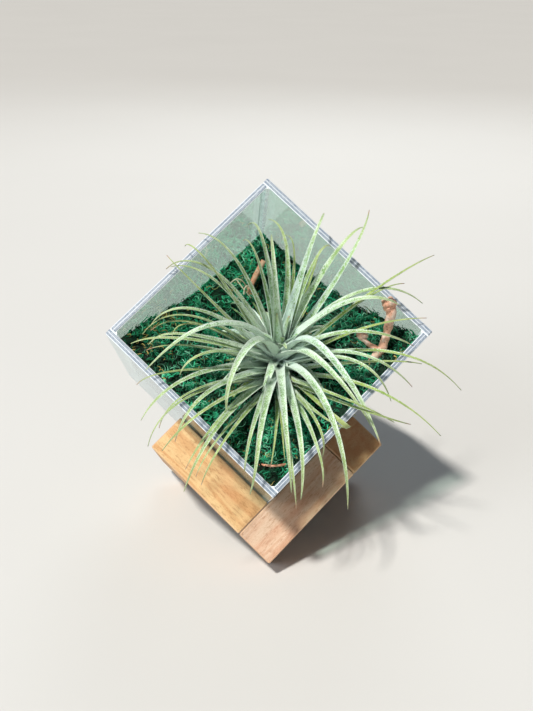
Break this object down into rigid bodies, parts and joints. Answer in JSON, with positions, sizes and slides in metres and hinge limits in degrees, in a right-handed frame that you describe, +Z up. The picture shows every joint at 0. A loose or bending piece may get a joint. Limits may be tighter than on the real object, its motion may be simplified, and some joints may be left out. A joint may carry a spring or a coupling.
{
  "type": "air plant in acrylic box",
  "caption": "Tillandsia rosette on green moss in a clear open-fronted box, resting on its corner in a zigzag ring of square wooden bars.",
  "frame": {"origin": "on the surface that the part stands on, under the middle of its box", "axes": "+Z up along the box's long diagonal, -Y to the front where the box is open, +X to the viewer's right"},
  "size_m": [0.1518, 0.1716, 0.1723],
  "materials": {
    "leaf": "silvery green leaf with fine scales",
    "moss": "dried curly moss",
    "twig": "rough reddish bark",
    "root": "rough pale bark",
    "clear_sheet": "clear polished acrylic with sawn edges",
    "beech": "sanded and oiled, fine grain"
  },
  "bodies": {
    "root": {"air_plant": "leaf", "moss_bed": "moss", "twig_upright": "twig", "twig_root": "root", "twig_curved": "twig", "sheet_back": "clear_sheet", "sheet_lower_left": "clear_sheet", "sheet_lower_right": "clear_sheet", "sheet_upper_left": "clear_sheet", "sheet_upper_right": "clear_sheet", "bar_front_left": "beech", "bar_front_right": "beech", "bar_left": "beech", "bar_right": "beech", "bar_back_left": "beech", "bar_back_right": "beech"}
  },
  "joints": []
}
